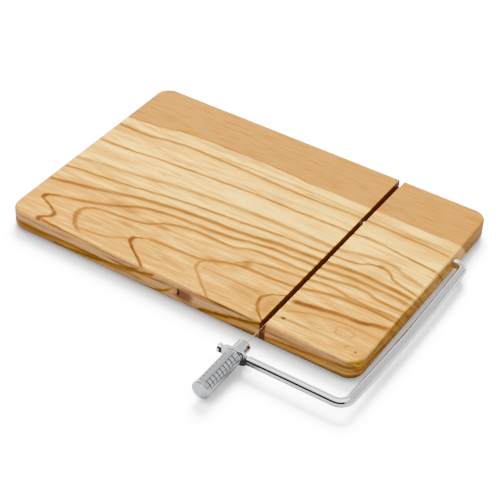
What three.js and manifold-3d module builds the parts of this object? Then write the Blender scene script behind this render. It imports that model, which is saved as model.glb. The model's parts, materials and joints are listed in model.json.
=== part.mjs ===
// Cheese slicer board: a solid olive-wood board with a wire cutting bow.
//
// Units are millimetres. +X runs along the board's long side towards the end that carries the
// bow, +Y runs to the back and +Z is up. The origin is the centre of the board's underside.
// The bow is drawn lowered, with its wire in the slot and the wire pulled tight.

import * as THREE from 'three';
import { mergeVertices } from 'three/addons/utils/BufferGeometryUtils.js';
import Module from 'manifold-3d';

const wasm = await Module();
wasm.setup();

// ---------------------------------------------------------------- driving dimensions

// Board
const boardLength = 300;
const boardWidth = 204;
const boardThickness = 18;
const boardCornerRadius = 12;
const topEdgeRadius = 2;
const bottomEdgeRadius = 5;

// Slot that takes the wire, sawn across the board from front to back
const slotX = 75;
const slotWidth = 4.4;
const slotFloorZ = 10.2;

// Bow, bent from one round rod; its legs lie in one level plane
const rodRadius = 3.5;
const bowZ = 10.8;
const pivotY = 43;
const pivotBlindEndX = 61.5;
const sideLegBackX = 159;
const sideLegCrownX = 162;
const sideLegCrownY = -42;
const sideLegFrontX = 158.4;
const frontLegY = -132.4;
const stubEndX = 59.4;
const pivotBendRadius = 6.5;
const sideLegRadius = 2000;
const frontBendRadius = 9;

// Eye, where the front leg is pressed into a flat oval round the tension bolt
const handleX = 72.8;
const eyeLength = 22;
const eyeHeight = 12.6;
const eyeThickness = 2.2;
const eyeY = -133.1;
const eyeRamp = 2.4;

// Wire and the barrels swaged on its two ends
const wireRadius = 0.28;
const barrelRadius = 0.85;
const barrelLength = 2;

// Tension bolt: slotted nose, flatted shank, threaded end
const noseRadius = 5.3;
const noseEndY = -120.4;
const shankRadius = 2.3;
const shankFlat = 1.8;
const shankEndY = -158;
const wireTravel = 2.4;

// Handle: a ribbed grip on a threaded insert, closed by a cap
const handleEndY = -174.8;
const gripRadius = 6.6;
const gripBoreRadius = 4.1;
const capRadius = 7.1;
const capThickness = 2;
const insertRadius = 3.8;
const insertFlangeRadius = 5;
const insertFlangeThickness = 1.6;
const washerRadius = 5.8;
const washerThickness = 1.1;
const ringGrooveCount = 9;
const ringGroovePitch = 3.75;
const firstRingGroove = 4.6;
const ringGrooveWidth = 1.1;
const ringGrooveDepth = 0.55;
const landHalfWidth = 1.9;

// Clearances and fineness
const touchGap = 0.3;
const runningGap = 0.35;
const barrelGap = 0.2;
const roundSegments = 36;
const rodSegments = 20;
const bendSteps = 7;

// ---------------------------------------------------------------- derived sizes

const eyeBackY = eyeY + eyeThickness / 2;
const eyeFrontY = eyeY - eyeThickness / 2;
const noseStartY = eyeBackY + touchGap;
const washerBackY = eyeFrontY - touchGap;
const washerFrontY = washerBackY - washerThickness;
const gripBackY = washerFrontY - touchGap;
const flangeBackY = gripBackY;
const flangeFrontY = flangeBackY - insertFlangeThickness;
const capBackY = handleEndY + capThickness;
const gripFrontY = capBackY + touchGap;
const boreRadius = rodRadius + runningGap;
const rearBarrelY = pivotY - 0.2;
const frontBarrelY = noseEndY - 2;
const wireHoleRadius = wireRadius + runningGap;

// ---------------------------------------------------------------- solids and booleans

// Turns a closed three.js geometry into a manifold solid.
function solid(geometry) {
  const plain = geometry.clone();
  plain.deleteAttribute('normal');
  plain.deleteAttribute('uv');
  const welded = mergeVertices(plain, 1e-5);
  return new wasm.Manifold(new wasm.Mesh({
    numProp: 3,
    vertProperties: new Float32Array(welded.attributes.position.array),
    triVerts: new Uint32Array(welded.index.array),
  }));
}

// Turns a manifold solid back into a three.js geometry.
function geometryOf(manifold) {
  const mesh = manifold.getMesh();
  const geometry = new THREE.BufferGeometry();
  geometry.setAttribute('position', new THREE.BufferAttribute(new Float32Array(mesh.vertProperties), 3));
  geometry.setIndex(new THREE.BufferAttribute(new Uint32Array(mesh.triVerts), 1));
  geometry.computeVertexNormals();
  return geometry;
}

// A box given by its smallest and largest corners.
function box(x0, y0, z0, x1, y1, z1) {
  const geometry = new THREE.BoxGeometry(x1 - x0, y1 - y0, z1 - z0);
  geometry.translate((x0 + x1) / 2, (y0 + y1) / 2, (z0 + z1) / 2);
  return solid(geometry);
}

// A turned solid about a line along Y through (x, z). Profile points are [radius, y].
function turned(profile, x, z, segments = roundSegments) {
  const points = profile.map(([radius, y]) => new THREE.Vector2(radius, y));
  const geometry = new THREE.LatheGeometry(points, segments);
  geometry.translate(x, 0, z);
  const shape = solid(geometry);
  return shape.volume() < 0 ? solid(flipped(geometry)) : shape;
}

// The same geometry with its faces turned inside out.
function flipped(geometry) {
  const result = geometry.clone();
  const index = result.index.array;
  for (let i = 0; i < index.length; i += 3) {
    [index[i], index[i + 1]] = [index[i + 1], index[i]];
  }
  return result;
}

// A plain round bar about a line along Y through (x, z), from y0 to y1.
function bar(radius, y0, y1, x, z, segments = roundSegments) {
  return turned([[0, y0], [radius, y0], [radius, y1], [0, y1]], x, z, segments);
}

// A ring about a line along Y through (x, z), with chamfered outer edges.
function ring(outerRadius, innerRadius, y0, y1, chamfer, x, z) {
  return turned([
    [innerRadius, y0],
    [outerRadius - chamfer, y0],
    [outerRadius, y0 + chamfer],
    [outerRadius, y1 - chamfer],
    [outerRadius - chamfer, y1],
    [innerRadius, y1],
    [innerRadius, y0],
  ], x, z);
}

// ---------------------------------------------------------------- bent rod

// A path through fixed stations, so that bends get many stations and straights get none.
class StationPath extends THREE.Curve {
  constructor(stations) {
    super();
    this.stations = stations;
  }

  station(u) {
    return Math.round(u * (this.stations.length - 1));
  }

  getPointAt(u) {
    return this.stations[this.station(u)].point.clone();
  }

  getTangentAt(u) {
    return this.stations[this.station(u)].tangent.clone();
  }
}

// Stations along a run of straight legs whose inner corners are rounded to the given radii.
function bentStations(corners, radii) {
  const stations = [];
  const direction = (from, to) => to.clone().sub(from).normalize();
  const first = direction(corners[0], corners[1]);
  stations.push({ point: corners[0], tangent: first });
  for (let i = 1; i < corners.length - 1; i += 1) {
    const before = direction(corners[i - 1], corners[i]);
    const after = direction(corners[i], corners[i + 1]);
    const turn = before.angleTo(after);
    const setback = radii[i - 1] * Math.tan(turn / 2);
    const start = corners[i].clone().addScaledVector(before, -setback);
    const axis = before.clone().cross(after).normalize();
    const toCentre = axis.clone().cross(before);
    const centre = start.clone().addScaledVector(toCentre, radii[i - 1]);
    for (let step = 0; step <= bendSteps; step += 1) {
      const angle = (turn * step) / bendSteps;
      const spoke = start.clone().sub(centre).applyAxisAngle(axis, angle);
      stations.push({ point: centre.clone().add(spoke), tangent: before.clone().applyAxisAngle(axis, angle) });
    }
  }
  const last = corners.length - 1;
  stations.push({ point: corners[last], tangent: direction(corners[last - 1], corners[last]) });
  return stations;
}

// A round rod swept along stations.
function rod(stations, radius, segments) {
  const section = new THREE.Shape();
  section.absarc(0, 0, radius, 0, Math.PI * 2);
  return solid(new THREE.ExtrudeGeometry(section, {
    steps: stations.length - 1,
    curveSegments: segments,
    extrudePath: new StationPath(stations),
  }));
}

// ---------------------------------------------------------------- board

// A slab with the board's outline and both its faces rounded over at the edge.
function roundedSlab(z0, z1, edgeRadius) {
  const x = boardLength / 2;
  const y = boardWidth / 2;
  const r = boardCornerRadius;
  const outline = new THREE.Shape();
  outline.absarc(x - r, y - r, r, 0, Math.PI / 2);
  outline.absarc(-x + r, y - r, r, Math.PI / 2, Math.PI);
  outline.absarc(-x + r, -y + r, r, Math.PI, Math.PI * 1.5);
  outline.absarc(x - r, -y + r, r, Math.PI * 1.5, Math.PI * 2);
  const geometry = new THREE.ExtrudeGeometry(outline, {
    depth: z1 - z0 - 2 * edgeRadius,
    bevelSize: edgeRadius,
    bevelThickness: edgeRadius,
    bevelOffset: -edgeRadius,
    bevelSegments: 5,
    curveSegments: 7,
  });
  geometry.translate(0, 0, z0 + edgeRadius);
  return solid(geometry);
}

function buildBoard() {
  const beyond = 20;
  const topRounded = roundedSlab(-beyond, boardThickness, topEdgeRadius);
  const bottomRounded = roundedSlab(0, boardThickness + beyond, bottomEdgeRadius);
  const slot = box(
    slotX - slotWidth / 2, -boardWidth / 2 - beyond, slotFloorZ,
    slotX + slotWidth / 2, boardWidth / 2 + beyond, boardThickness + beyond,
  );
  const boreDepth = boardLength / 2 - pivotBlindEndX + 1;
  const bore = new THREE.CylinderGeometry(boreRadius, boreRadius, boreDepth + beyond, 28);
  bore.rotateZ(Math.PI / 2);
  bore.translate(boardLength / 2 + beyond - (boreDepth + beyond) / 2, pivotY, bowZ);
  return topRounded.intersect(bottomRounded).subtract(slot).subtract(solid(bore));
}

// ---------------------------------------------------------------- bow and wire

function buildBowRod() {
  const corners = [
    new THREE.Vector3(pivotBlindEndX, pivotY, bowZ),
    new THREE.Vector3(sideLegBackX, pivotY, bowZ),
    new THREE.Vector3(sideLegCrownX, sideLegCrownY, bowZ),
    new THREE.Vector3(sideLegFrontX, frontLegY, bowZ),
    new THREE.Vector3(stubEndX, frontLegY, bowZ),
  ];
  // The wire's pull bends the side leg outwards a little.
  const bends = [pivotBendRadius, sideLegRadius, frontBendRadius];
  const rodShape = rod(bentStations(corners, bends), rodRadius, rodSegments);

  // The press squeezes the rod between two faces and spreads it into an oval eye.
  const flatHalfLength = eyeLength / 2 - eyeRamp / 2;
  const tall = 4 * rodRadius;
  const squeeze = new THREE.Shape([
    new THREE.Vector2(-flatHalfLength, 0),
    new THREE.Vector2(flatHalfLength, 0),
    new THREE.Vector2(flatHalfLength + eyeRamp * 2, eyeRamp * 2),
    new THREE.Vector2(-flatHalfLength - eyeRamp * 2, eyeRamp * 2),
  ]);
  const backPress = new THREE.ExtrudeGeometry(squeeze, { depth: tall, bevelEnabled: false });
  backPress.translate(handleX, eyeBackY, bowZ - tall / 2);
  const frontPress = new THREE.ExtrudeGeometry(squeeze, { depth: tall, bevelEnabled: false });
  frontPress.rotateZ(Math.PI);
  frontPress.translate(handleX, eyeFrontY, bowZ - tall / 2);
  const eyeEndRadius = eyeHeight / 2;
  const eyeEndOffset = eyeLength / 2 - eyeEndRadius;
  const oval = new THREE.Shape();
  oval.absarc(eyeEndOffset, 0, eyeEndRadius, -Math.PI / 2, Math.PI / 2);
  oval.absarc(-eyeEndOffset, 0, eyeEndRadius, Math.PI / 2, Math.PI * 1.5);
  const eyeEdge = 0.5;
  const eye = new THREE.ExtrudeGeometry(oval, {
    depth: eyeThickness - 2 * eyeEdge,
    bevelSize: eyeEdge,
    bevelThickness: eyeEdge,
    bevelOffset: -eyeEdge,
    bevelSegments: 2,
    curveSegments: 12,
  });
  eye.rotateX(Math.PI / 2);
  eye.translate(handleX, eyeBackY - eyeEdge, bowZ);

  // The bolt's shank is flatted, and so is the hole in the eye, so that the bolt cannot turn.
  const roundHole = bar(shankRadius + touchGap, eyeFrontY - 1, eyeBackY + 1, handleX, bowZ);
  const holeFlat = shankFlat + touchGap;
  const flatBand = box(handleX - 5, eyeFrontY - 2, bowZ - holeFlat, handleX + 5, eyeBackY + 2, bowZ + holeFlat);

  // The wire runs through a cross hole in the pivot leg, bored wider at the back for its barrel.
  const wireHole = bar(wireHoleRadius, pivotY - 5, pivotY + 5, slotX, bowZ, 16);
  const barrelSeat = bar(barrelRadius + barrelGap, rearBarrelY - barrelGap, pivotY + 5, slotX, bowZ, 20);

  return rodShape
    .subtract(solid(backPress))
    .subtract(solid(frontPress))
    .add(solid(eye))
    .subtract(roundHole.intersect(flatBand))
    .subtract(wireHole)
    .subtract(barrelSeat);
}

function buildWire() {
  const start = new THREE.Vector3(slotX, rearBarrelY + barrelLength, bowZ);
  const end = new THREE.Vector3(handleX, frontBarrelY - barrelLength, bowZ);
  const along = end.clone().sub(start).normalize();
  return rod([{ point: start, tangent: along }, { point: end, tangent: along }], wireRadius, 10);
}

function buildBarrel(x, y0, y1) {
  return ring(barrelRadius, wireRadius + 0.15, y0, y1, 0.3, x, bowZ);
}

// ---------------------------------------------------------------- tension bolt

function buildTensionBolt() {
  const chamfer = 0.7;
  const body = turned([
    [0, shankEndY],
    [shankRadius - chamfer, shankEndY],
    [shankRadius, shankEndY + chamfer],
    [shankRadius, noseStartY],
    [noseRadius - chamfer / 2, noseStartY],
    [noseRadius, noseStartY + chamfer / 2],
    [noseRadius, noseEndY - chamfer],
    [noseRadius - chamfer, noseEndY],
    [0, noseEndY],
  ], handleX, bowZ);

  // Flats on the shank, from the nose to just past the eye.
  const flatEndY = eyeFrontY - wireTravel - touchGap;
  const side = 10;
  const upperFlat = box(handleX - side, flatEndY, bowZ + shankFlat, handleX + side, noseStartY, bowZ + side);
  const lowerFlat = box(handleX - side, flatEndY, bowZ - side, handleX + side, noseStartY, bowZ - shankFlat);

  // A pocket for the wire's barrel, with a window and a slit through which both are put in.
  const pocketRadius = barrelRadius + barrelGap;
  const pocketBackY = frontBarrelY + barrelGap;
  const pocketFrontY = frontBarrelY - barrelLength - wireTravel - barrelGap;
  const windowLength = barrelLength + 2 * barrelGap;
  const window = new THREE.BoxGeometry(noseRadius * 2, windowLength, pocketRadius * 2);
  const slit = new THREE.BoxGeometry(noseRadius * 2, 10, wireRadius * 2 + barrelGap);
  window.translate(noseRadius, pocketBackY - windowLength / 2, 0);
  slit.translate(noseRadius, pocketBackY + 4, 0);
  const slitAngle = THREE.MathUtils.degToRad(28);
  [window, slit].forEach((cut) => {
    cut.rotateY(-slitAngle);
    cut.translate(handleX, 0, bowZ);
  });
  const pocket = bar(pocketRadius, pocketFrontY, pocketBackY, handleX, bowZ, 20);
  const wireWay = bar(wireHoleRadius, pocketFrontY, noseEndY + 1, handleX, bowZ, 16);

  return body
    .subtract(upperFlat)
    .subtract(lowerFlat)
    .subtract(pocket)
    .subtract(wireWay)
    .subtract(solid(window))
    .subtract(solid(slit));
}

// ---------------------------------------------------------------- handle

function buildThrustWasher() {
  return ring(washerRadius, shankRadius + touchGap, washerFrontY, washerBackY, 0.25, handleX, bowZ);
}

// The threaded insert's outer end is flush with the seat of the cap's plug.
const insertEndY = shankEndY - 2;

function buildHandleInsert() {
  const thread = shankRadius + touchGap;
  const chamfer = 0.35;
  return turned([
    [thread, insertEndY],
    [insertRadius, insertEndY],
    [insertRadius, flangeFrontY],
    [insertFlangeRadius - chamfer, flangeFrontY],
    [insertFlangeRadius, flangeFrontY + chamfer],
    [insertFlangeRadius, flangeBackY - chamfer],
    [insertFlangeRadius - chamfer, flangeBackY],
    [thread, flangeBackY],
    [thread, insertEndY],
  ], handleX, bowZ);
}

function buildHandleGrip() {
  // Turned outline with evenly spaced ring grooves.
  const chamfer = 0.5;
  const profile = [[0, gripFrontY], [gripRadius - chamfer / 2, gripFrontY], [gripRadius, gripFrontY + chamfer / 2]];
  for (let i = ringGrooveCount - 1; i >= 0; i -= 1) {
    const y = gripBackY - firstRingGroove - ringGroovePitch * i;
    profile.push([gripRadius, y - ringGrooveWidth / 2]);
    profile.push([gripRadius - ringGrooveDepth, y - ringGrooveWidth / 4]);
    profile.push([gripRadius - ringGrooveDepth, y + ringGrooveWidth / 4]);
    profile.push([gripRadius, y + ringGrooveWidth / 2]);
  }
  profile.push([gripRadius, gripBackY - chamfer], [gripRadius - chamfer, gripBackY], [0, gripBackY]);
  let grip = turned(profile, handleX, bowZ);

  // Four smooth lands along the grip cross all the ring grooves and leave four ribbed panels.
  const smooth = bar(gripRadius, gripFrontY + chamfer, gripBackY - chamfer, handleX, bowZ);
  const uprightBand = box(
    handleX - landHalfWidth, gripFrontY, bowZ - gripRadius,
    handleX + landHalfWidth, gripBackY, bowZ + gripRadius,
  );
  const levelBand = box(
    handleX - gripRadius, gripFrontY, bowZ - landHalfWidth,
    handleX + gripRadius, gripBackY, bowZ + landHalfWidth,
  );
  grip = grip.add(smooth.intersect(uprightBand.add(levelBand)));

  // A fine groove runs along each side of every land.
  const lineWidth = 0.5;
  const landEdge = THREE.MathUtils.radToDeg(Math.asin(landHalfWidth / gripRadius));
  const lineAngles = [0, 90, 180, 270].flatMap((middle) => [middle - landEdge, middle + landEdge]);
  lineAngles.forEach((angle) => {
    const line = new THREE.BoxGeometry(2 * ringGrooveDepth, gripBackY - gripFrontY - 3 * chamfer, lineWidth);
    line.translate(gripRadius, (gripBackY + gripFrontY) / 2, 0);
    line.rotateY(-THREE.MathUtils.degToRad(angle));
    line.translate(handleX, 0, bowZ);
    grip = grip.subtract(solid(line));
  });

  const bore = bar(gripBoreRadius, gripFrontY - 1, gripBackY + 1, handleX, bowZ);
  const flangeSeat = bar(
    insertFlangeRadius + touchGap, flangeFrontY - touchGap, gripBackY + 1, handleX, bowZ,
  );
  return grip.subtract(bore).subtract(flangeSeat);
}

function buildHandleCap() {
  const chamfer = 0.5;
  const plugRadius = gripBoreRadius - touchGap;
  const plugLength = 5;
  return turned([
    [0, handleEndY],
    [capRadius - chamfer, handleEndY],
    [capRadius, handleEndY + chamfer],
    [capRadius, capBackY],
    [plugRadius, capBackY],
    [plugRadius, capBackY + plugLength],
    [0, capBackY + plugLength],
  ], handleX, bowZ);
}

// ---------------------------------------------------------------- assembly

const oliveWood = { color: 0xdcb274, roughness: 0.5, metalness: 0 };
const chrome = { color: 0xd4d7da, roughness: 0.08, metalness: 1 };
const satinChrome = { color: 0xc9cdd1, roughness: 0.28, metalness: 1 };
const steelWire = { color: 0xc8c4bd, roughness: 0.25, metalness: 1 };
const brass = { color: 0xb89a58, roughness: 0.35, metalness: 1 };

const product = new THREE.Group();
product.name = 'cheese_slicer_board';

function addPart(name, manifold, look) {
  const mesh = new THREE.Mesh(geometryOf(manifold), new THREE.MeshStandardMaterial(look));
  mesh.name = name;
  product.add(mesh);
}

addPart('board', buildBoard(), oliveWood);
addPart('bow_rod', buildBowRod(), chrome);
addPart('cutting_wire', buildWire(), steelWire);
addPart('wire_barrel_rear', buildBarrel(slotX, rearBarrelY, rearBarrelY + barrelLength), brass);
addPart('wire_barrel_front', buildBarrel(handleX, frontBarrelY - barrelLength, frontBarrelY), brass);
addPart('tension_bolt', buildTensionBolt(), chrome);
addPart('thrust_washer', buildThrustWasher(), chrome);
addPart('handle_insert', buildHandleInsert(), chrome);
addPart('handle_grip', buildHandleGrip(), satinChrome);
addPart('handle_cap', buildHandleCap(), satinChrome);

export default product;
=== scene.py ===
"""Looks of the cheese slicer board: olive wood, chromed bow and handle, studio light.

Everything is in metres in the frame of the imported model: +X runs to the end that carries the
bow, +Y to the back, +Z up, and the origin is the centre of the board's underside.  The wood's
figure is worked out in millimetres in that same frame.
"""
import json
import math

import bmesh
import bpy
from mathutils import Matrix, Vector

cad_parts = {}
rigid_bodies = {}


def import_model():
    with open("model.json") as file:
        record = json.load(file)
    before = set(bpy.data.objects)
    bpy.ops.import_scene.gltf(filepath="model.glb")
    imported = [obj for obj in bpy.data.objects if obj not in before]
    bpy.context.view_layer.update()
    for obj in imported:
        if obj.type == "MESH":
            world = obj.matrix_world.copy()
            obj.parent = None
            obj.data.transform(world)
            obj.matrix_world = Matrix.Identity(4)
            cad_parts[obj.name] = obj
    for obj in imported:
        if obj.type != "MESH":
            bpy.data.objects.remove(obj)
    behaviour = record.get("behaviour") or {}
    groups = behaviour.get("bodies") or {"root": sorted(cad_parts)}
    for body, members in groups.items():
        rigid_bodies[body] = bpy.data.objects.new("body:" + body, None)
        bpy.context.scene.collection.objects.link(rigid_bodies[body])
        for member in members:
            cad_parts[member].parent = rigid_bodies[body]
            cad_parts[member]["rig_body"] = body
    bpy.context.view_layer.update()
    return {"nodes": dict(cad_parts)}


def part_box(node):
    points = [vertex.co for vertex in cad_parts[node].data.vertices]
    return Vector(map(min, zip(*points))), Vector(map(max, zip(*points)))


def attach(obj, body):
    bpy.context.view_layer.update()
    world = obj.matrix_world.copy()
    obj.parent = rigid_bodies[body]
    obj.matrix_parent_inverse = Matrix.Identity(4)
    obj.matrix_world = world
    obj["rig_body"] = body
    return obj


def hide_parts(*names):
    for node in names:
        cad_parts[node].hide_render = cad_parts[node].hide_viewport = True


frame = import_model()

MM = 0.001
NODES = frame["nodes"]

# ---------------------------------------------------------------- the board's dimensions

BOARD_LOW, BOARD_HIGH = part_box("board")
BOARD_TOP_MM = BOARD_HIGH.z / MM
BOARD_FRONT_MM = BOARD_LOW.y / MM
BOARD_RIGHT_MM = BOARD_HIGH.x / MM

SLOT_X = 0.075
SLOT_HALF = 0.0022
SLOT_FLOOR = 0.0102
BORE_Y = 0.043
ROD_Z = 0.0108
BORE_RADIUS = 0.00385
BORE_BLIND_X = 0.0612
CORNER_RADIUS = 0.012
TOP_ROUND = 0.002
BOTTOM_ROUND = 0.005


# ---------------------------------------------------------------- camera

CAMERA_AZIMUTH = math.radians(30.82)
CAMERA_ELEVATION = math.radians(39.10)
CAMERA_ROLL = math.radians(3.01)
CAMERA_DISTANCE = 1.129
CAMERA_TARGET = Vector((0.0135, -0.0207, 0.0))
CAMERA_LENS_MM = 108.9
SENSOR_MM = 36.0


def make_camera():
    """A long lens from the front right, above the board, rolled by a few degrees."""
    flat = math.cos(CAMERA_ELEVATION)
    back = Vector((
        math.sin(CAMERA_AZIMUTH) * flat,
        -math.cos(CAMERA_AZIMUTH) * flat,
        math.sin(CAMERA_ELEVATION),
    ))
    level = Vector((0, 0, 1)).cross(back).normalized()
    upright = back.cross(level)
    right = level * math.cos(CAMERA_ROLL) + upright * math.sin(CAMERA_ROLL)
    up = upright * math.cos(CAMERA_ROLL) - level * math.sin(CAMERA_ROLL)
    turn = Matrix((right, up, back)).transposed().to_4x4()
    data = bpy.data.cameras.new("camera")
    data.lens = CAMERA_LENS_MM
    data.sensor_width = SENSOR_MM
    data.clip_start = 0.01
    data.clip_end = 20.0
    camera = bpy.data.objects.new("camera", data)
    camera.matrix_world = Matrix.Translation(CAMERA_TARGET + back * CAMERA_DISTANCE) @ turn
    bpy.context.scene.collection.objects.link(camera)
    bpy.context.scene.camera = camera


make_camera()


# ---------------------------------------------------------------- fields: arithmetic made of nodes

# How far noise() reaches to either side of 0, at its very most.
NOISE_REACH = 1.6


class Field:
    """A number that a material works out at each point.  Arithmetic on fields adds Math nodes."""

    def __init__(self, tree, value):
        self.tree = tree
        self.value = value

    def apply(self, operation, *others):
        node = self.tree.nodes.new("ShaderNodeMath")
        node.operation = operation
        for socket, operand in zip(node.inputs, (self, *others)):
            feed(self.tree, operand, socket)
        return Field(self.tree, node.outputs[0])

    def __add__(self, other):
        return self.apply("ADD", other)

    def __sub__(self, other):
        return self.apply("SUBTRACT", other)

    def __rsub__(self, other):
        return Field(self.tree, other).apply("SUBTRACT", self)

    def __mul__(self, other):
        return self.apply("MULTIPLY", other)

    def at_most(self, other):
        return self.apply("MINIMUM", other)

    def at_least(self, other):
        return self.apply("MAXIMUM", other)

    def size(self):
        return self.apply("ABSOLUTE")

    def root(self):
        return self.apply("SQRT")

    def step(self, start, end):
        """0 at start, 1 at end, with a smooth rise between them."""
        node = self.tree.nodes.new("ShaderNodeMapRange")
        node.interpolation_type = "SMOOTHSTEP"
        feed(self.tree, self, node.inputs["Value"])
        node.inputs["From Min"].default_value = min(start, end)
        node.inputs["From Max"].default_value = max(start, end)
        if end < start:
            node.inputs["To Min"].default_value = 1
            node.inputs["To Max"].default_value = 0
        return Field(self.tree, node.outputs[0])

    def curve(self, points):
        """A smooth curve through given (value, result) points."""
        points = sorted(points)
        first, last = points[0][0], points[-1][0]
        results = [result for _, result in points]
        low, high = min(results), max(results)
        node = self.tree.nodes.new("ShaderNodeFloatCurve")
        line = node.mapping.curves[0]
        while len(line.points) < len(points):
            line.points.new(0.5, 0.5)
        for knot, (value, result) in zip(line.points, points):
            knot.location = ((value - first) / (last - first), (result - low) / (high - low))
        node.mapping.update()
        feed(self.tree, (self - first) * (1 / (last - first)), node.inputs["Value"])
        return Field(self.tree, node.outputs[0]) * (high - low) + low


def feed(tree, source, socket):
    """Puts a field, an output socket or a constant into an input socket."""
    if isinstance(source, Field):
        source = source.value
    if isinstance(source, bpy.types.NodeSocket):
        tree.links.new(source, socket)
    else:
        socket.default_value = source


def point_fields(tree):
    """The point's x, y and z as fields, in millimetres."""
    place = tree.nodes.new("ShaderNodeTexCoord")
    parts = tree.nodes.new("ShaderNodeSeparateXYZ")
    tree.links.new(place.outputs["Object"], parts.inputs[0])
    return [Field(tree, parts.outputs[i]) * (1 / MM) for i in range(3)]


def noise(x, y, z, detail=2.0, roughness=0.5):
    """Noise with a mean of 0, mostly within 0.5 of it.  Its grains are one unit across."""
    tree = x.tree
    vector = tree.nodes.new("ShaderNodeCombineXYZ")
    for socket, part in zip(vector.inputs, (x, y, z)):
        feed(tree, part, socket)
    node = tree.nodes.new("ShaderNodeTexNoise")
    tree.links.new(vector.outputs[0], node.inputs["Vector"])
    node.inputs["Scale"].default_value = 1.0
    node.inputs["Detail"].default_value = detail
    node.inputs["Roughness"].default_value = roughness
    return Field(tree, node.outputs[0]) * (2 * NOISE_REACH) - NOISE_REACH


def encoded(colour):
    """A colour as the wood's tones are mixed: near to how bright it looks."""
    return tuple(part ** (1 / TONE_GAMMA) for part in colour)


def blend_colour(tree, share, first, second):
    """Mixes two colours, each a socket or an (r, g, b), by the share of the second."""
    node = tree.nodes.new("ShaderNodeMix")
    node.data_type = "RGBA"
    feed(tree, share, node.inputs[0])
    for name, colour in (("A_Color", first), ("B_Color", second)):
        socket = next(s for s in node.inputs if s.identifier == name)
        feed(tree, (*colour, 1) if isinstance(colour, tuple) else colour, socket)
    return next(s for s in node.outputs if s.identifier == "Result_Color")


def new_material(name):
    """A material with an empty tree apart from its Principled shader."""
    material = bpy.data.materials.new(name)
    material.use_nodes = True
    tree = material.node_tree
    return material, tree, tree.nodes["Principled BSDF"]


def add_bump(tree, shader, height, depth):
    """Raises the surface by height, a field of about 0 to 1, times depth in metres."""
    bump = tree.nodes.new("ShaderNodeBump")
    bump.inputs["Distance"].default_value = depth
    feed(tree, height, bump.inputs["Height"])
    tree.links.new(bump.outputs[0], shader.inputs["Normal"])


# ---------------------------------------------------------------- olive wood

# The wood's tones are mixed as colour ** (1 / TONE_GAMMA), and a Gamma node decodes the result.
TONE_GAMMA = 3.0

CREAM = encoded((0.86, 0.52, 0.020))
HONEY = encoded((0.44, 0.180, 0.0006))
TAN = encoded((0.30, 0.130, 0.010))
SIDE = encoded((0.70, 0.350, 0.170))
BROWN = encoded((0.070, 0.022, 0.004))
DARK = encoded((0.020, 0.006, 0.003))
RED_KNOT = encoded((0.12, 0.036, 0.018))
# Painted shade: the dark colour of the slot's walls.
SLOT_WALL_SHADE = encoded((0.13, 0.036, 0.018))

# How far the growth rings lean towards -Y for each unit of depth.
RINGS_LEAN = 0.8
# Where the tones of the front and right faces start and are complete.
FRONT_FACE_MM = (BOARD_FRONT_MM + 1.6, BOARD_FRONT_MM - 0.4)
RIGHT_FACE_MM = (BOARD_RIGHT_MM - 1.8, BOARD_RIGHT_MM - 0.2)

# Growth lines that run along the board: their y at chosen x, in mm, on the top face.
# Each has its core's half width, the width of its soft shade towards -Y, and its strength.
LINES_ALONG = [
    ([(-60, 43), (-35, 45), (0, 46), (40, 46.5), (75, 45.5), (113, 44.5), (152, 45)], 0.7, 2, 0.35),
    ([(-152, 37), (-136, 35), (-100, 39.5), (-60, 41), (-20, 40), (20, 39.2), (75, 41),
      (113, 40), (152, 38.5)], 0.9, 6, 0.75),
    ([(20, 43), (75, 43), (100, 42), (125, 43), (152, 42)], 0.6, 2, 0.4),
    ([(-152, 9), (-130, 9.5), (-100, 13), (-50, 17), (0, 19.5), (50, 20.5), (75, 21), (90, 22.5),
      (113, 20.8), (152, 16.5)], 0.65, 2, 0.8),
    ([(-152, -21.5), (-100, -14), (-60, -7.5), (-20, -3.5), (20, -1.2), (75, -0.5), (95, 3),
      (113, 5.5), (130, 1), (152, -4)], 1.2, 4, 0.55),
    ([(-152, -36), (-125, -32), (-100, -29), (-70, -24), (-45, -20), (0, -16), (50, -11), (75, -10),
      (95, -8), (113, -1.8), (127, -8), (152, -15)], 0.75, 2.5, 0.8),
    ([(-152, -56), (-130, -50), (-110, -45.5), (-70, -35), (-35, -29.5), (0, -27.5), (40, -21.5),
      (75, -19), (113, -16.5), (152, -21.5)], 1.3, 4.5, 0.9),
    ([(-140, -74), (-125, -68), (-100, -60), (-85, -54), (-75, -48), (-62, -42.5), (-50, -40),
      (-20, -38), (0, -36), (40, -29), (75, -27), (113, -24), (152, -27.5)], 1.15, 4, 0.85),
    ([(-100, -68), (-90, -64), (-75, -62.5), (-60, -60), (-50, -56), (-42, -50), (-20, -45),
      (10, -44), (28, -38.5), (45, -37), (75, -36.5), (95, -33), (113, -31), (130, -34),
      (152, -35)], 0.95, 3, 0.75),
    ([(20, -63), (25, -58), (31, -52), (37, -49), (50, -46.5), (75, -43.5), (95, -41), (113, -43.5),
      (152, -44)], 0.95, 3, 0.65),
    ([(-46, -73), (-38, -71.5), (-10, -70), (2, -68.5), (12, -64.5), (22, -61), (35, -58.5),
      (60, -57), (75, -55), (95, -49), (113, -46.5), (152, -48)], 0.95, 3, 0.8),
    ([(-96, -91), (-85, -90.5), (-70, -88), (-60, -83), (-50, -78)], 0.7, 2, 0.5),
    ([(5, -75), (15, -76), (30, -75), (45, -75.5), (60, -77)], 0.8, 3, 0.4),
    ([(77, -70), (95, -67), (113, -63.5), (130, -62), (140, -58.5), (152, -56)], 1.4, 7, 1.2),
    ([(77, -85), (90, -77), (105, -72), (125, -69.5), (152, -70)], 0.7, 5, 0.45),
    ([(-124, -99), (-112, -99.6), (-98, -101), (-60, -103)], 1.0, 1.5, 1.1),
]

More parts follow.
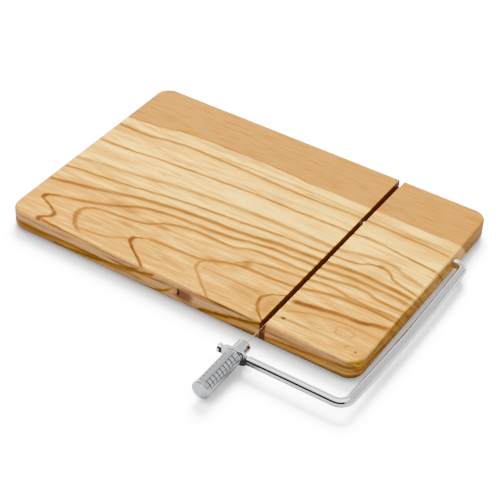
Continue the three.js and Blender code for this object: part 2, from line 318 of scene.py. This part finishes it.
# Growth lines that turn back towards the front edge: their x at chosen y.
# Their soft shade lies towards +X.
LINES_BACK = [
    ([(-66, -122), (-70, -130), (-75, -137), (-80, -131), (-84, -122.5), (-91, -117), (-98, -123),
      (-104, -119)], 1.4, 3, 1.2),
    ([(-62, -90), (-66, -98), (-72, -103.5), (-78, -104), (-84, -101), (-90, -96), (-96, -88)],
     1.5, 5, 0.85),
    ([(-71, -40), (-74, -47.5), (-79, -53), (-85, -49.5), (-90, -43), (-95, -36), (-104, -25)],
     1.3, 3, 1.15),
    ([(-66, 10), (-71, 3.5), (-77, 3), (-84, 9), (-92, 17), (-104, 31)], 0.9, 3, 0.65),
    ([(-66, 76), (-70, 69), (-75, 62), (-80, 59.5), (-86, 60.5), (-92, 64.5), (-98, 71),
      (-104, 78)], 1.0, 9, 0.95),
]

# Long shallow streaks on the front face: their height z at chosen x.
FRONT_STREAKS = [
    ([(-152, 11), (-120, 8), (-95, 9.5), (-60, 9), (-30, 13), (-15, 18)], 0.8, 3, 0.6),
    ([(-110, 4), (-85, 5.5), (-60, 8.5), (-40, 12), (-28, 17)], 0.7, 3, 0.65),
    ([(-40, 1), (-15, 4), (-4, 9), (2, 16)], 0.7, 2, 0.55),
    ([(18, 3), (35, 7), (52, 11), (66, 14.5), (80, 18)], 0.9, 4, 0.8),
    ([(30, 0), (60, 4.5), (90, 8), (125, 11), (152, 14)], 0.8, 4, 0.5),
    ([(80, 2), (120, 4), (152, 6)], 0.8, 3, 0.35),
]

# The edge of the uniform tan band along the back.
TAN_EDGE = [
    (-152, 47), (-125, 49.5), (-110, 52), (-90, 56), (-50, 57.5), (0, 57), (20, 55.5), (75, 55),
    (113, 54), (152, 54.5),
]

# Soft patches: centre x and y, half lengths along x and y, strength and colour.
PATCHES = [
    (-128, -3, 34, 6, 0.65, HONEY),
    (-112, -24, 28, 3.5, 0.5, HONEY),
    (-115, 31, 60, 4.5, 0.55, HONEY),
    (20, 27, 60, 3, 0.4, HONEY),
    (130, 28, 30, 3, 0.35, HONEY),
    (-140, 36, 14, 3, 0.5, BROWN),
    (-40, 54, 70, 3.5, 0.45, TAN),
    (-79, -52, 15, 4.5, 0.5, BROWN),
    (-45, -55, 14, 3.5, 0.5, BROWN),
    (-65, -67, 12, 3, 0.4, BROWN),
    (32, -55, 5, 7, 0.5, BROWN),
    (10, -66, 9, 4, 0.5, BROWN),
    (5, -85, 8, 10, 0.35, HONEY),
    (-80, -80, 26, 9, 0.16, BROWN),
    (-30, -84, 30, 10, 0.16, BROWN),
    (48, -80, 20, 7, 0.34, BROWN),
    (35, -95, 25, 6, 0.16, BROWN),
    (67, -86, 7, 16, 0.6, BROWN),
    (90, -78, 18, 7, 0.2, BROWN),
    (113, -1, 4, 2.5, 0.8, BROWN),
    (113, -12, 12, 7, 0.6, HONEY),
    (84, -89.5, 2.4, 1.6, 1.0, DARK),
    (95, -89, 15, 1.2, 0.5, BROWN),
    (142, -90.5, 1.3, 1.0, 0.9, DARK),
]

# Small eyes: centre x and y, half lengths of the ring along x and y, strength.
EYES = [
    (126, -77, 7, 4.5, 0.7),
    (107, -82, 5, 2.5, 0.5),
    (141, -90, 7.5, 4, 0.6),
]


def line_darkness(distance, core, shade):
    """How dark a growth line is at a distance past it: a crisp near side and a soft far side."""
    near = distance.step(core * 2.1, core * 0.5)
    far = distance.step(-core * 2.8, -core * 0.5)
    soft = distance.step(core * 4.0, 0) * distance.step(-shade * 2.0, 0)
    return near * far, soft


def growth_lines(lines, run, across, patchiness, ends=6):
    """All the lines of one list: the darkest core and the darkest soft shade at each point."""
    cores, shades = None, None
    for points, core, shade, strength in lines:
        distance = across - run.curve(points)
        core_here, shade_here = line_darkness(distance, core, shade)
        low = min(value for value, _ in points)
        high = max(value for value, _ in points)
        inside = run.step(low, low + ends) * run.step(high, high - ends)
        weight = inside * patchiness * strength
        core_here = core_here * weight
        shade_here = shade_here * weight
        cores = core_here if cores is None else cores.at_least(core_here)
        shades = shade_here if shades is None else shades.at_least(shade_here)
    return cores, shades


def ellipse(x, y, centre_x, centre_y, half_x, half_y):
    """The distance from an ellipse's centre, 1 on its outline."""
    across = (x - centre_x) * (1 / half_x)
    along = (y - centre_y) * (1 / half_y)
    return (across * across + along * along).root()


class Grain:
    """The fields that the layers of the wood's figure share, with lengths in millimetres."""

    def __init__(self, tree):
        x, level_y, z = point_fields(tree)
        depth = BOARD_TOP_MM - z
        y = level_y - depth * RINGS_LEAN
        self.tree = tree
        self.x, self.y, self.z, self.depth = x, y, z, depth
        # The lines wander a little, and waver finely where they cross the fibres.
        self.wander = noise(x * 0.022, y * 0.05, 0.0, 1.0)
        self.waver = noise(x * 0.12, y * 0.22, depth * 0.1, 2.0)
        self.x_wavy = x + noise(x * 0.1, y * 0.16, 4.0, 2.0)
        self.y_wavy = y + self.wander * 0.9 + self.waver * 0.55
        self.patchy = noise(x * 0.035, y * 0.09, 9.0, 2.0) * 0.3 + 0.85
        # Streaks and fibres are stretched along the grain.
        self.streaks = noise(x * 0.03, y * 0.3, depth * 0.3, 3.0)
        self.fibres = noise(x * 0.045, y * 0.95, depth * 0.95, 3.0, 0.65)
        self.front = y.step(*FRONT_FACE_MM)
        self.right = x.step(*RIGHT_FACE_MM)


def grain_lines(grain):
    """The growth lines on the top, and the long streaks that the front face draws out of them."""
    x, y, front = grain.x_wavy, grain.y_wavy, grain.front
    core, shade = growth_lines(LINES_ALONG, x, y, grain.patchy)
    core_back, shade_back = growth_lines(mirrored(LINES_BACK), y, 0 - x, grain.patchy, 3)
    front_x = grain.x + grain.waver * 3
    front_z = grain.z + noise(grain.x * 0.05, grain.z * 0.3, 2.0, 2.0) * 0.8
    core_front, shade_front = growth_lines(FRONT_STREAKS, front_x, front_z, grain.patchy)
    core = core.at_least(core_back) * (1 - front) + core_front * front
    shade = shade.at_least(shade_back) * (1 - front) + shade_front * front
    return core, shade


def ground_colour(grain):
    """Cream and honey in broad tones, and browner on the front and right faces."""
    x, y, tree = grain.x, grain.y, grain.tree
    broad = noise(x * 0.012, y * 0.07, 5.0, 2.0)
    warmth = y.step(-10, -60) * 0.6 + x.step(-40, -150) * 0.2 + x.step(80, 140) * 0.15
    honey_share = broad * 0.5 + grain.streaks * 0.8 + grain.fibres * 0.9 + 0.16 + warmth
    colour = blend_colour(tree, honey_share, CREAM, HONEY)
    side_streaks = noise(x * 0.018, grain.z * 0.32, y * 0.05, 3.0)
    side_colour = blend_colour(tree, side_streaks + grain.fibres * 0.35 + 0.12, SIDE, BROWN)
    side = (grain.front + grain.right * 0.7).at_most(1) * 0.85
    return blend_colour(tree, side, colour, side_colour)


def add_patches(grain, colour):
    """Soft patches, which the front face doesn't show."""
    top = 1 - grain.front
    for centre_x, centre_y, half_x, half_y, strength, tone in PATCHES:
        place = ellipse(grain.x_wavy, grain.y_wavy, centre_x, centre_y, half_x, half_y)
        colour = blend_colour(grain.tree, place.step(1.25, 0.2) * strength * top, colour, tone)
    return colour


def add_tan_band(grain, colour):
    """The tan band along the back, with straight fine fibres and a soft brown line on its edge."""
    tree = grain.tree
    edge = grain.y_wavy - grain.x_wavy.curve(TAN_EDGE)
    band = blend_colour(tree, grain.fibres * 0.9 + grain.streaks * 0.5 + 0.3, TAN, HONEY)
    band = blend_colour(tree, grain.fibres * 0.7 + grain.streaks * 0.4 + 0.05, band, BROWN)
    colour = blend_colour(tree, edge.step(-1.2, 1.6), colour, band)
    edge_line = edge.step(-1.5, 0) * edge.step(2.2, 0.2) * grain.x.step(60, 0)
    return blend_colour(tree, edge_line * 0.45, colour, BROWN)


def add_eyes(grain, colour):
    """Thin uneven rings round small buds."""
    x = grain.x_wavy + grain.waver * 1.6
    y = grain.y_wavy + grain.waver
    for centre_x, centre_y, half_x, half_y, strength in EYES:
        off_ring = (ellipse(x, y, centre_x, centre_y, half_x, half_y) - 1).size()
        ring = off_ring.step(0.25, 0.02) * (grain.waver * 0.8 + 0.6)
        colour = blend_colour(grain.tree, ring * strength * 0.6, colour, BROWN)
    return colour


def add_front_knot(grain, colour):
    """A reddish knot on the front face, with a dark cleft at its left."""
    knot = ellipse(grain.x + grain.waver * 2.5, grain.z + grain.wander, 9, 10, 9, 6)
    cleft = ellipse(grain.x + grain.waver * 2, grain.z, 4.5, 11, 1.6, 4)
    colour = blend_colour(grain.tree, knot.step(1.2, 0.3) * grain.front * 0.75, colour, RED_KNOT)
    return blend_colour(grain.tree, cleft.step(1.2, 0.3) * grain.front * 0.8, colour, DARK)


def add_slot_wall_shade(grain, colour):
    """Paints the slot's walls dark: painted shade deep in the narrow slot."""
    half = SLOT_HALF / MM
    in_slot = (grain.x - SLOT_X / MM).size().step(half + 0.25, half - 0.05)
    return blend_colour(grain.tree, in_slot * grain.depth.step(0.5, 1.6), colour, SLOT_WALL_SHADE)


def make_olive_wood():
    """Cream and honey olive wood, cut out of a solid, so that its lines run on over the sides."""
    material, tree, shader = new_material("olive_wood")
    grain = Grain(tree)
    core, shade = grain_lines(grain)
    # Fine pores are short dark dashes along the grain.
    pores = noise(grain.x * 0.35, grain.y * 3.2, grain.depth * 3.2, 1.0).step(0.62, 1.0)

    colour = ground_colour(grain)
    colour = add_patches(grain, colour)
    colour = add_tan_band(grain, colour)
    colour = blend_colour(tree, shade * 0.95, colour, HONEY)
    colour = blend_colour(tree, core * 0.82, colour, BROWN)
    colour = add_eyes(grain, colour)
    colour = add_front_knot(grain, colour)
    colour = blend_colour(tree, pores * 0.16, colour, BROWN)
    colour = add_slot_wall_shade(grain, colour)

    decode = tree.nodes.new("ShaderNodeGamma")
    decode.inputs["Gamma"].default_value = TONE_GAMMA
    tree.links.new(colour, decode.inputs["Color"])
    tree.links.new(decode.outputs[0], shader.inputs["Base Color"])
    gloss = grain.streaks * 0.03 + grain.fibres * 0.04 + core * 0.08 + 0.5
    feed(tree, gloss, shader.inputs["Roughness"])
    shader.inputs["Specular IOR Level"].default_value = 0.12
    relief = grain.fibres * 0.25 - pores * 0.6 - core * 0.4 + 0.5
    add_bump(tree, shader, relief, 0.00008)
    return material


def mirrored(lines):
    """The same lines with their results' sign changed, so that their shade falls the other way."""
    return [([(value, -result) for value, result in points], core, shade, strength)
            for points, core, shade, strength in lines]


# ---------------------------------------------------------------- metals

def make_metal(name, colour, roughness, scratches, depth, groove=None):
    """A plated metal with fine wipe marks, slight clouds in its gloss and faint unevenness.

    A groove is (axis x, axis z, radius): nearer to that axis than the radius, painted shade darkens
    the metal, standing in for the shade in the grip's grooves.
    """
    material, tree, shader = new_material(name)
    x, y, z = point_fields(tree)
    clouds = noise(x * 0.12, y * 0.12, z * 0.12, 3.0)
    wipes = noise(x * 0.5, y * 6.0, z * 6.0, 2.0)
    grit = noise(x * 5.0, y * 5.0, z * 5.0, 1.0)
    tint = blend_colour(tree, clouds * 0.25 + 0.4, colour, tuple(0.9 * part for part in colour))
    if groove:
        axis_x, axis_z, radius = groove
        from_axis = ellipse(x, z, axis_x, axis_z, radius, radius)
        # Painted shade: the metal just inside the grip's radius is coloured dark, as the shade in
        # its grooves.
        painted_groove_shade = from_axis.step(0.985, 0.945) * from_axis.step(0.72, 0.8)
        tint = blend_colour(tree, painted_groove_shade * 0.9, tint, tuple(0.1 * part for part in colour))
    tree.links.new(tint, shader.inputs["Base Color"])
    shader.inputs["Metallic"].default_value = 1.0
    feed(tree, (clouds * 0.25 + wipes * scratches + 1) * roughness, shader.inputs["Roughness"])
    add_bump(tree, shader, wipes * 0.3 + grit * 0.3 + 0.5, depth)
    return material


# ---------------------------------------------------------------- pieces

CORNER_STEPS = 14
ROUND_STEPS = 8
CUT_BEYOND = 0.01
MERGE_DISTANCE = 1e-6
FLAT_ANGLE = math.radians(0.6)


def new_object(name, mesh, material):
    """A piece in the scene with one material."""
    piece = bpy.data.objects.new(name, mesh)
    bpy.context.scene.collection.objects.link(piece)
    mesh.materials.clear()
    mesh.materials.append(material)
    return piece


def settle_modifiers(piece):
    """Replaces the piece's mesh by what its modifiers make of it."""
    graph = bpy.context.evaluated_depsgraph_get()
    mesh = bpy.data.meshes.new_from_object(piece.evaluated_get(graph))
    piece.modifiers.clear()
    piece.data = mesh


def shade_smooth(mesh, crease_degrees):
    """Smooth shading with sharp edges wherever two faces meet at more than the crease angle."""
    work = bmesh.new()
    work.from_mesh(mesh)
    crease = math.radians(crease_degrees)
    for face in work.faces:
        face.smooth = True
    for edge in work.edges:
        edge.smooth = edge.is_manifold and edge.calc_face_angle(0) < crease
    work.to_mesh(mesh)
    work.free()


def soften(piece, width, segments=2, angle=30):
    """Bevels the piece's sharp edges and keeps its flat faces flat to the light."""
    bevel = piece.modifiers.new("soft_edges", "BEVEL")
    bevel.width = width
    bevel.segments = segments
    bevel.limit_method = "ANGLE"
    bevel.angle_limit = math.radians(angle)
    bevel.use_clamp_overlap = True
    settle_modifiers(piece)
    finish_normals(piece)


def finish_normals(piece, crease_degrees=40):
    """Smooth shading that keeps large flat faces flat."""
    shade_smooth(piece.data, crease_degrees)
    normals = piece.modifiers.new("flat_faces", "WEIGHTED_NORMAL")
    normals.keep_sharp = True
    settle_modifiers(piece)


def outline_at(inset, z):
    """The board's rounded outline, drawn in by inset, at height z."""
    points = []
    radius = CORNER_RADIUS - inset
    for turn, (side_x, side_y) in enumerate([(1, 1), (-1, 1), (-1, -1), (1, -1)]):
        centre_x = side_x * (BOARD_HIGH.x - CORNER_RADIUS)
        centre_y = side_y * (BOARD_HIGH.y - CORNER_RADIUS)
        for i in range(CORNER_STEPS + 1):
            angle = math.pi / 2 * (turn + i / CORNER_STEPS)
            x = centre_x + radius * math.cos(angle)
            y = centre_y + radius * math.sin(angle)
            points.append((x, y, z))
    return points


def rounded_slab(name):
    """The board's blank: rings of the outline from the underside to the top."""
    angles = [math.pi / 2 * i / ROUND_STEPS for i in range(ROUND_STEPS + 1)]
    levels = []
    for angle in angles:
        inset = BOTTOM_ROUND * (1 - math.sin(angle))
        levels.append((inset, BOTTOM_ROUND * (1 - math.cos(angle))))
    for angle in angles:
        inset = TOP_ROUND * (1 - math.cos(angle))
        levels.append((inset, BOARD_HIGH.z - TOP_ROUND * (1 - math.sin(angle))))
    work = bmesh.new()
    rings = [[work.verts.new(point) for point in outline_at(inset, z)] for inset, z in levels]
    count = len(rings[0])
    for lower, upper in zip(rings, rings[1:]):
        for i in range(count):
            j = (i + 1) % count
            work.faces.new((lower[i], lower[j], upper[j], upper[i]))
    work.faces.new(list(reversed(rings[0])))
    work.faces.new(rings[-1])
    mesh = bpy.data.meshes.new(name)
    work.to_mesh(mesh)
    work.free()
    return mesh


def box_mesh(name, low, high):
    """A box between two corners."""
    mesh = bpy.data.meshes.new(name)
    work = bmesh.new()
    bmesh.ops.create_cube(work, size=1)
    for vertex in work.verts:
        for axis in range(3):
            vertex.co[axis] = low[axis] if vertex.co[axis] < 0 else high[axis]
    work.to_mesh(mesh)
    work.free()
    return mesh


def cylinder_mesh(name, radius, start, end, sides=48):
    """A closed cylinder from start to end."""
    start, end = Vector(start), Vector(end)
    mesh = bpy.data.meshes.new(name)
    work = bmesh.new()
    bmesh.ops.create_cone(
        work, cap_ends=True, segments=sides, radius1=radius, radius2=radius,
        depth=(end - start).length,
    )
    turn = (end - start).to_track_quat("Z", "Y").to_matrix().to_4x4()
    bmesh.ops.transform(work, matrix=Matrix.Translation((start + end) / 2) @ turn, verts=work.verts)
    work.to_mesh(mesh)
    work.free()
    return mesh


def cut(piece, mesh):
    """Cuts a mesh out of a piece."""
    cutter = bpy.data.objects.new("cutter", mesh)
    bpy.context.scene.collection.objects.link(cutter)
    boolean = piece.modifiers.new("cut", "BOOLEAN")
    boolean.operation = "DIFFERENCE"
    boolean.solver = "EXACT"
    boolean.object = cutter
    bpy.context.view_layer.update()
    settle_modifiers(piece)
    bpy.data.objects.remove(cutter)


def make_board(wood):
    """The wooden board with its slot and the bow's bore."""
    board = new_object("board_wood", rounded_slab("board_wood"), wood)
    low = (SLOT_X - SLOT_HALF, BOARD_LOW.y - CUT_BEYOND, SLOT_FLOOR)
    high = (SLOT_X + SLOT_HALF, BOARD_HIGH.y + CUT_BEYOND, BOARD_HIGH.z + CUT_BEYOND)
    cut(board, box_mesh("slot", low, high))
    bore_start = (BORE_BLIND_X, BORE_Y, ROD_Z)
    bore_end = (BOARD_HIGH.x + CUT_BEYOND, BORE_Y, ROD_Z)
    cut(board, cylinder_mesh("bore", BORE_RADIUS, bore_start, bore_end))
    soften(board, 0.0003, 2, 50)
    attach(board, "board")
    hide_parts("board")


def smooth_copy(node, material, edge):
    """A piece with a CAD node's own shape, with its edges broken and its round faces smooth."""
    mesh = NODES[node].data.copy()
    work = bmesh.new()
    work.from_mesh(mesh)
    bmesh.ops.remove_doubles(work, verts=work.verts, dist=MERGE_DISTANCE)
    bmesh.ops.dissolve_limit(
        work, angle_limit=FLAT_ANGLE, use_dissolve_boundaries=False,
        verts=work.verts, edges=work.edges,
    )
    work.to_mesh(mesh)
    work.free()
    piece = new_object(node + "_finished", mesh, material)
    soften(piece, edge, 2, 32)
    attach(piece, NODES[node]["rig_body"])
    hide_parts(node)


def grip_groove():
    """The axis and the radius of the grip, in millimetres, for the painted shade in its grooves."""
    low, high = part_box("handle_grip")
    middle = (low + high) / 2
    return middle.x / MM, middle.z / MM, (high.z - low.z) / 2 / MM


CHROME = (0.80, 0.81, 0.83)
SATIN_CHROME = (0.60, 0.615, 0.64)

make_board(make_olive_wood())
chrome = make_metal("chrome", CHROME, 0.07, 0.2, 0.000002)
satin = make_metal("satin_chrome", SATIN_CHROME, 0.2, 0.3, 0.000005)
ribbed = make_metal("ribbed_chrome", SATIN_CHROME, 0.2, 0.3, 0.000005, grip_groove())
steel = make_metal("steel_wire", (0.95, 0.82, 0.70), 0.45, 0.3, 0.000004)
brass = make_metal("brass", (0.62, 0.46, 0.20), 0.25, 0.3, 0.000004)
smooth_copy("bow_rod", chrome, 0.0002)
smooth_copy("cutting_wire", steel, 0.00001)
smooth_copy("wire_barrel_rear", brass, 0.0001)
smooth_copy("wire_barrel_front", brass, 0.0001)
smooth_copy("tension_bolt", chrome, 0.0002)
smooth_copy("thrust_washer", chrome, 0.00015)
smooth_copy("handle_insert", chrome, 0.0001)
smooth_copy("handle_grip", ribbed, 0.00012)
smooth_copy("handle_cap", satin, 0.00015)


# ---------------------------------------------------------------- studio

FLOOR_HALF = 4.0
FLOOR_Z = -0.0002
FLOOR_SEEN = (4.2, 4.2, 4.25)
FLOOR_BOUNCE = (0.45, 0.45, 0.45)
FLOOR_GLOW = 0.2
CONTACT_REACH = 0.022
CONTACT_SHADE = 0.8

WALL_LOW = 1.6
WALL_HIGH = 2.4
CEILING_RIM = 0.95
CEILING_MIDDLE = 3.15

KEY_PLACE = (-0.55, 1.05, 1.5)
KEY_SIZE = 1.0
KEY_WATTS = 170


def make_floor():
    """A plain white floor, overexposed as seen, with contact shadows close to the object.

    It bounces less light than it shows, so that the sides stay shaded.
    """
    mesh = bpy.data.meshes.new("floor")
    half = FLOOR_HALF
    corners = [(-half, -half, 0), (half, -half, 0), (half, half, 0), (-half, half, 0)]
    mesh.from_pydata(corners, [], [(0, 1, 2, 3)])
    material, tree, shader = new_material("floor_white")
    path = tree.nodes.new("ShaderNodeLightPath")
    seen = Field(tree, path.outputs["Is Camera Ray"])
    white = blend_colour(tree, seen, FLOOR_BOUNCE, FLOOR_SEEN)
    contact = tree.nodes.new("ShaderNodeAmbientOcclusion")
    contact.inputs["Distance"].default_value = CONTACT_REACH
    open_sky = Field(tree, contact.outputs["AO"]).step(0.45, 0.85)
    light_share = open_sky * CONTACT_SHADE + (1 - CONTACT_SHADE)
    white = blend_colour(tree, light_share, (0.0, 0.0, 0.0), white)
    tree.links.new(white, shader.inputs["Base Color"])
    shader.inputs["Roughness"].default_value = 0.4
    shader.inputs["Emission Color"].default_value = (1, 1, 1, 1)
    feed(tree, seen * FLOOR_GLOW, shader.inputs["Emission Strength"])
    mesh.materials.append(material)
    floor = bpy.data.objects.new("floor", mesh)
    floor.location.z = FLOOR_Z
    bpy.context.scene.collection.objects.link(floor)


def area_light(name, place, aim, size, watts):
    """A square soft box that points at aim and isn't mirrored in the metal."""
    data = bpy.data.lights.new(name, "AREA")
    data.shape = "SQUARE"
    data.size = size
    data.energy = watts
    light = bpy.data.objects.new(name, data)
    direction = Vector(aim) - Vector(place)
    light.location = place
    light.rotation_mode = "QUATERNION"
    light.rotation_quaternion = direction.to_track_quat("-Z", "Y")
    light.visible_glossy = False
    bpy.context.scene.collection.objects.link(light)


def make_world():
    """Soft grey light all round.

    Gloss mirrors white walls instead, with dark gaps in front and at the right.
    """
    world = bpy.data.worlds.new("studio")
    world.use_nodes = True
    tree = world.node_tree
    background = tree.nodes["Background"]
    place = tree.nodes.new("ShaderNodeTexCoord")
    parts = tree.nodes.new("ShaderNodeSeparateXYZ")
    tree.links.new(place.outputs["Generated"], parts.inputs[0])
    east, north, height = [Field(tree, parts.outputs[i]) for i in range(3)]
    soft = height.step(0.0, 0.7) * 0.6 + 0.7
    walls = height.step(0.1, 0.2) * (WALL_HIGH - WALL_LOW) + WALL_LOW
    walls = walls - height.step(0.48, 0.52) * (WALL_HIGH - CEILING_RIM)
    walls = walls + height.step(0.84, 0.88) * (CEILING_MIDDLE - CEILING_RIM)
    front_gap = height.step(0.07, 0.13) * height.step(0.75, 0.68) * north.step(-0.3, -0.5)
    side_gap = height.step(0.12, 0.2) * height.step(0.45, 0.38) * east.step(0.4, 0.55)
    walls = walls * (1 - front_gap.at_least(side_gap * 0.9) * 0.998)
    path = tree.nodes.new("ShaderNodeLightPath")
    glossy = Field(tree, path.outputs["Is Glossy Ray"])
    feed(tree, soft + (walls - soft) * glossy, background.inputs["Strength"])
    background.inputs["Color"].default_value = (1, 1, 1, 1)
    bpy.context.scene.world = world


make_floor()
make_world()
area_light("key", KEY_PLACE, (0, 0, 0), KEY_SIZE, KEY_WATTS)
